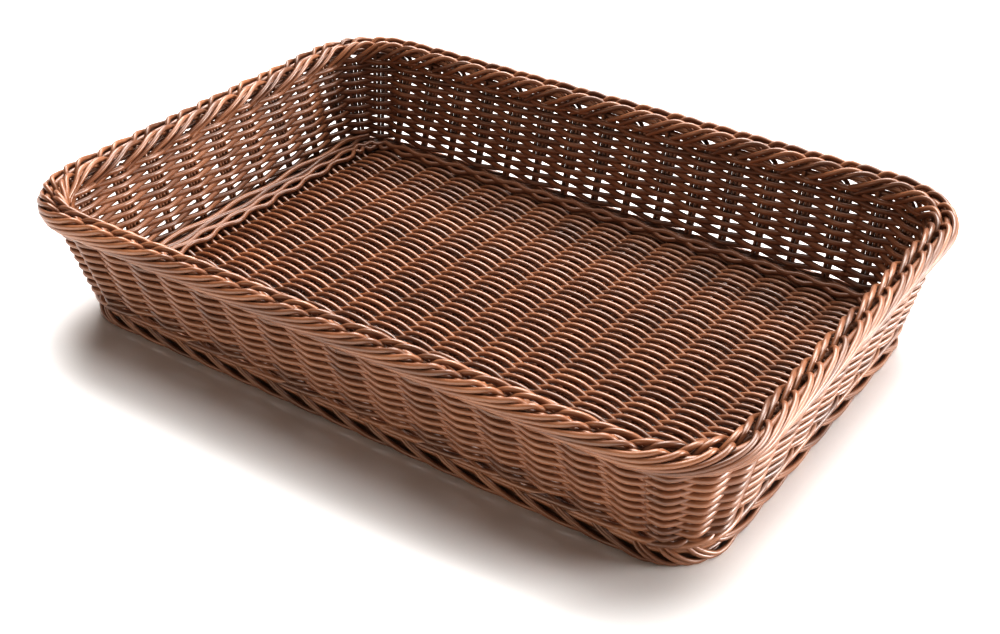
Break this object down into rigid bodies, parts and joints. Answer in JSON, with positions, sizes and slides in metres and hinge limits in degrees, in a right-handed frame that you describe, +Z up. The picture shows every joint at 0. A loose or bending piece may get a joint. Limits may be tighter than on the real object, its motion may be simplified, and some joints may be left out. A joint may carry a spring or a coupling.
{
  "type": "woven tray basket",
  "caption": "Shallow rectangular open basket with rounded corners, woven in round reddish-brown plastic wicker, with leaning walls and a thick rolled border.",
  "frame": {"origin": "centre of the foot, on the surface the basket stands on", "axes": "+X along the long walls, +Y along the short walls towards the back wall, +Z up out of the open top"},
  "size_m": [0.5996, 0.416, 0.11],
  "materials": {
    "wall_strand": "satin",
    "stake_strand": "satin",
    "floor_strand": "satin",
    "wale_strand": "satin",
    "border_strand": "satin"
  },
  "bodies": {
    "root": {"base_stakes": "stake_strand", "base_weave": "floor_strand", "base_edge": "floor_strand", "foot_border": "border_strand", "lower_wale": "wale_strand", "weave_front": "wall_strand", "weave_back": "wall_strand", "weave_left": "wall_strand", "weave_right": "wall_strand", "weave_front_left_corner": "wall_strand", "weave_front_right_corner": "wall_strand", "weave_back_left_corner": "wall_strand", "weave_back_right_corner": "wall_strand", "stakes_front": "stake_strand", "stakes_back": "stake_strand", "stakes_left": "stake_strand", "stakes_right": "stake_strand", "stakes_corners": "stake_strand", "upper_wale": "wale_strand", "border_tails": "border_strand", "border_band": "border_strand", "border_braid": "border_strand"}
  },
  "joints": []
}
